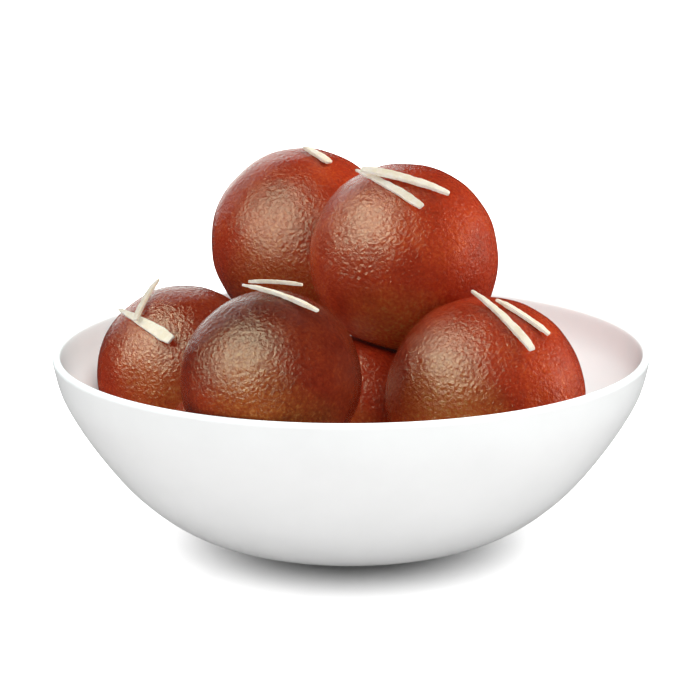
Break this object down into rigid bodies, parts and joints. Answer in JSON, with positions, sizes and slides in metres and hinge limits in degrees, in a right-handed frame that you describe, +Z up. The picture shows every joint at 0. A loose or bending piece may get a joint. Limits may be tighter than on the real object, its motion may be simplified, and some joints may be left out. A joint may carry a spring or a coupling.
{
  "type": "bowl of gulab jamun",
  "caption": "White porcelain bowl heaped with round syrup-soaked gulab jamun, with almond slivers on top.",
  "frame": {"origin": "centre of the bowl's axis, level with the underside of its foot ring", "axes": "+Z up along the bowl's axis, +X to the right and -Y to the front of the heap"},
  "size_m": [0.142, 0.142, 0.0926],
  "materials": {
    "porcelain": "gloss white glaze",
    "syruped_crust": "fried milk dough, red-brown, finely wrinkled, wet with sugar syrup",
    "almond": "matt cream blanched almond"
  },
  "bodies": {
    "root": {"bowl": "porcelain", "dumpling_top_left": "syruped_crust", "dumpling_top_right": "syruped_crust", "dumpling_front": "syruped_crust", "dumpling_right": "syruped_crust", "dumpling_left": "syruped_crust", "dumpling_under_middle": "syruped_crust", "dumpling_under_right": "syruped_crust", "dumpling_under_back": "syruped_crust", "dumpling_under_left": "syruped_crust", "sliver_top_left": "almond", "sliver_top_right_low": "almond", "sliver_top_right_high": "almond", "sliver_front_low": "almond", "sliver_front_high": "almond", "sliver_right_low": "almond", "sliver_right_high": "almond", "sliver_left_low": "almond", "sliver_left_high": "almond"}
  },
  "joints": []
}
